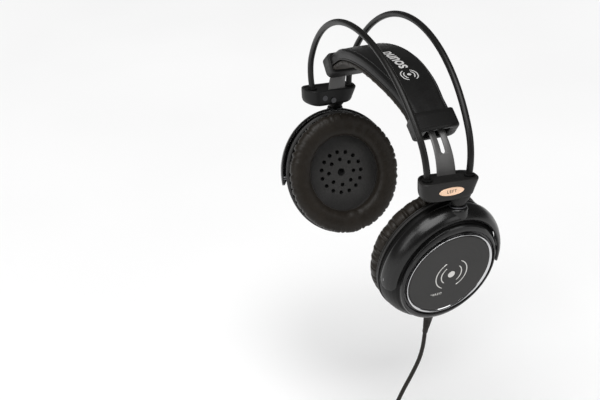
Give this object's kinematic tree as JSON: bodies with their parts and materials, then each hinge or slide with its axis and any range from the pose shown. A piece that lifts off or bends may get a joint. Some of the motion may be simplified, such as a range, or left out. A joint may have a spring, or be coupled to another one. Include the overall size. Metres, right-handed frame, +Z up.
{
  "type": "corded closed-back headphones",
  "caption": "Corded closed-back hi-fi headphones: padded inner headband under a sprung two-rod arch, slotted straps, swivelling yokes and tilting round ear cups.",
  "frame": {"origin": "where the underside of the headband pad rests on the crown of the wearer's head", "axes": "+Z up, +X towards the wearer's left ear, -Y to the wearer's front"},
  "size_m": [0.2252, 0.1309, 0.3285],
  "materials": {
    "headband_leatherette": "smooth black leatherette, satin",
    "headband_foam_cover": "soft brown-black leatherette over foam, matt",
    "spring_strip": "thin sprung steel strip",
    "end_cap_plastic": "fine satin moulded black",
    "cap_inner_plastic": "fine satin moulded black",
    "screw_steel": "blackened small screws",
    "stop_pin_steel": "turned pin",
    "elastic_cord": "braided elastic",
    "strap_nylon": "flexible grey-black nylon, satin",
    "rod_sleeve": "black extruded sleeve, satin",
    "rod_wire": "drawn spring steel",
    "block_plastic": "dark satin moulded plastic",
    "block_inner_plastic": "dark satin moulded plastic",
    "insert_plastic": "black moulded insert, matt",
    "grommet_rubber": "soft black",
    "badge_gold": "pale peach-gold oval plate, satin",
    "bush_chrome": "bright plated ring",
    "yoke_gloss": "gloss black, moulded",
    "stem_steel": "turned steel",
    "clip_steel": "sprung clip",
    "housing_plastic": "semi-gloss black moulded shell",
    "bevel_plastic": "dark grey satin ring",
    "trim_chrome": "bright plated ring",
    "disc_metal": "charcoal brushed disc",
    "baffle_plastic": "charcoal moulded plate",
    "basket_plastic": "moulded driver frame",
    "magnet_metal": "plated magnet cup",
    "diaphragm_film": "thin clear amber film",
    "pad_leatherette": "wrinkled brown-black leatherette",
    "pin_steel": "turned pins",
    "relief_rubber": "soft black moulded",
    "cord_jacket": "smooth black jacket",
    "tie_nylon": "black hook-and-loop tie",
    "plug_plastic": "black moulded grip",
    "plug_gold": "gold-plated contact"
  },
  "bodies": {
    "headband": {"headband_cover": "headband_leatherette", "headband_core": "spring_strip", "headband_pad": "headband_foam_cover", "cap_screws": "screw_steel", "strap_stop_pins": "stop_pin_steel", "retraction_elastics": "elastic_cord", "end_cap_outer_left": "end_cap_plastic", "end_cap_outer_right": "end_cap_plastic", "end_cap_inner_left": "cap_inner_plastic", "end_cap_inner_right": "cap_inner_plastic"},
    "frame": {"arch_sleeve_front": "rod_sleeve", "arch_sleeve_rear": "rod_sleeve", "arch_wire_front": "rod_wire", "arch_wire_rear": "rod_wire", "block_inserts": "insert_plastic", "tube_grommets": "grommet_rubber", "block_screws": "screw_steel", "swivel_bushes": "bush_chrome", "strap_left": "strap_nylon", "strap_right": "strap_nylon", "block_outer_left": "block_plastic", "block_outer_right": "block_plastic", "block_inner_left": "block_inner_plastic", "block_inner_right": "block_inner_plastic", "badge_left": "badge_gold", "badge_right": "badge_gold"},
    "yoke_left": {"yoke_left": "yoke_gloss", "swivel_stem_left": "stem_steel", "stem_clip_left": "clip_steel"},
    "cup_left": {"cup_housing_left": "housing_plastic", "bevel_ring_left": "bevel_plastic", "trim_ring_left": "trim_chrome", "disc_plate_left": "disc_metal", "baffle_left": "baffle_plastic", "driver_basket_left": "basket_plastic", "driver_magnet_left": "magnet_metal", "diaphragm_left": "diaphragm_film", "ear_pad_left": "pad_leatherette", "pivot_pins_left": "pin_steel", "housing_screws_left": "screw_steel", "strain_relief": "relief_rubber", "cord_tube": "cord_jacket", "cord_coil": "cord_jacket", "coil_tie": "tie_nylon", "plug_grip": "plug_plastic", "plug_contact": "plug_gold"},
    "yoke_right": {"yoke_right": "yoke_gloss", "swivel_stem_right": "stem_steel", "stem_clip_right": "clip_steel"},
    "cup_right": {"cup_housing_right": "housing_plastic", "bevel_ring_right": "bevel_plastic", "trim_ring_right": "trim_chrome", "disc_plate_right": "disc_metal", "baffle_right": "baffle_plastic", "driver_basket_right": "basket_plastic", "driver_magnet_right": "magnet_metal", "diaphragm_right": "diaphragm_film", "ear_pad_right": "pad_leatherette", "pivot_pins_right": "pin_steel", "housing_screws_right": "screw_steel"}
  },
  "joints": [
    {"name": "frame_slide", "type": "slide", "parent": "headband", "child": "frame", "axis": [0, 0, 1], "range_m": [-0.009, 0.012], "stiffness_N_per_m": 140, "springref_m": 0.0348, "deforming": ["strap_left", "strap_right", "retraction_elastics"]},
    {"name": "yoke_left_swivel", "type": "hinge", "parent": "frame", "child": "yoke_left", "pos_m": [0.104, 0.005, -0.062], "axis": [0, 0, 1], "range_deg": [-15, 15]},
    {"name": "cup_left_tilt", "type": "hinge", "parent": "yoke_left", "child": "cup_left", "pos_m": [0.08937, 0.00002, -0.10977], "axis": [-0.1115, 0.9938, 0], "range_deg": [-12, 2]},
    {"name": "yoke_right_swivel", "type": "hinge", "parent": "frame", "child": "yoke_right", "pos_m": [-0.104, 0.005, -0.062], "axis": [0, 0, 1], "range_deg": [-15, 15]},
    {"name": "cup_right_tilt", "type": "hinge", "parent": "yoke_right", "child": "cup_right", "pos_m": [-0.08937, 0.00002, -0.10977], "axis": [-0.1115, -0.9938, 0], "range_deg": [-12, 2]}
  ]
}
